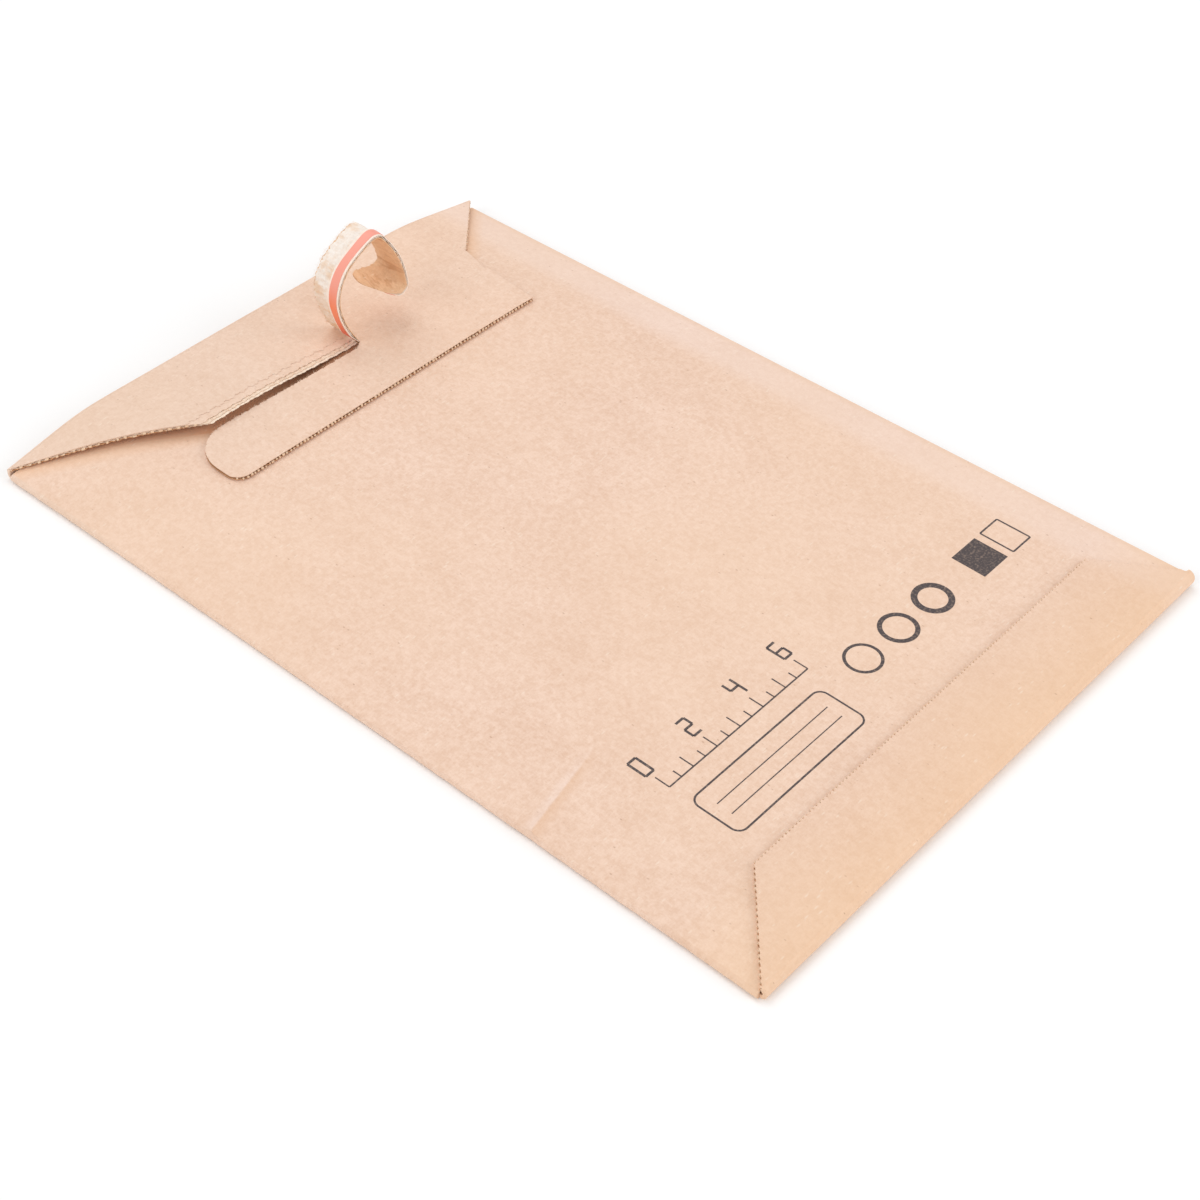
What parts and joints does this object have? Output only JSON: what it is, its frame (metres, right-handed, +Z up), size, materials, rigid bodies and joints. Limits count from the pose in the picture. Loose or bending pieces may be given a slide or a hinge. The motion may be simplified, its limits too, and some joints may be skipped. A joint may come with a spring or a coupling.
{
  "type": "mailing envelope",
  "caption": "Corrugated board mailing envelope with a hinged closure flap, a stuck-down tongue and a half-pulled tear strip that curls up from the torn edge.",
  "frame": {"origin": "middle of the front panel's outer face, on which the envelope lies", "axes": "+Y along the envelope towards its mouth and closure flap, +X across it towards the glued side seam, +Z up through its thickness"},
  "size_m": [0.206, 0.298, 0.0459],
  "materials": {
    "kraft_liner": "matte",
    "inner_liner": "matte",
    "fluted_medium": "matte",
    "folded_board": "matte",
    "adhesive": "satin",
    "tear_tape": "satin"
  },
  "bodies": {
    "pouch": {"front_outer_liner": "kraft_liner", "front_core": "fluted_medium", "front_inner_liner": "inner_liner", "left_fold": "folded_board", "right_fold": "folded_board", "glue_flap_inner_liner": "inner_liner", "glue_flap_fluting": "fluted_medium", "glue_flap_outer_liner": "kraft_liner", "side_seam_glue": "adhesive", "back_inner_liner": "inner_liner", "back_fluting": "fluted_medium", "back_outer_liner": "kraft_liner", "bottom_fold": "folded_board", "bottom_flap_inner_liner": "inner_liner", "bottom_flap_fluting": "fluted_medium", "bottom_flap_outer_liner": "kraft_liner", "bottom_seam_glue": "adhesive", "tongue_inner_liner": "inner_liner", "tongue_fluting": "fluted_medium", "tongue_outer_liner": "kraft_liner", "closure_adhesive": "adhesive"},
    "closure_flap": {"flap_fold": "folded_board", "flap_inner_liner": "inner_liner", "flap_fluting": "fluted_medium", "flap_outer_liner": "kraft_liner"},
    "tear_strip": {"strip_inner_liner": "inner_liner", "strip_fluting": "fluted_medium", "strip_outer_liner": "kraft_liner", "strip_tear_tape": "tear_tape"},
    "strip_curl": {"curl_outer_liner": "kraft_liner", "curl_fluting": "fluted_medium", "curl_inner_liner": "inner_liner", "curl_tear_tape": "tear_tape"}
  },
  "joints": [
    {"name": "flap_crease", "type": "hinge", "parent": "pouch", "child": "closure_flap", "pos_m": [0, 0.149, 0], "axis": [-1, 0, 0], "range_deg": [0, 90]},
    {"name": "strip_lift", "type": "slide", "parent": "closure_flap", "child": "tear_strip", "axis": [0, 0, 1], "range_m": [0, 0.03]},
    {"name": "strip_bend", "type": "hinge", "parent": "tear_strip", "child": "strip_curl", "pos_m": [0.012, 0.1166, 0.0101], "axis": [0, 1, 0], "range_deg": [-20, 12], "stiffness_Nm_per_rad": 0.002}
  ]
}
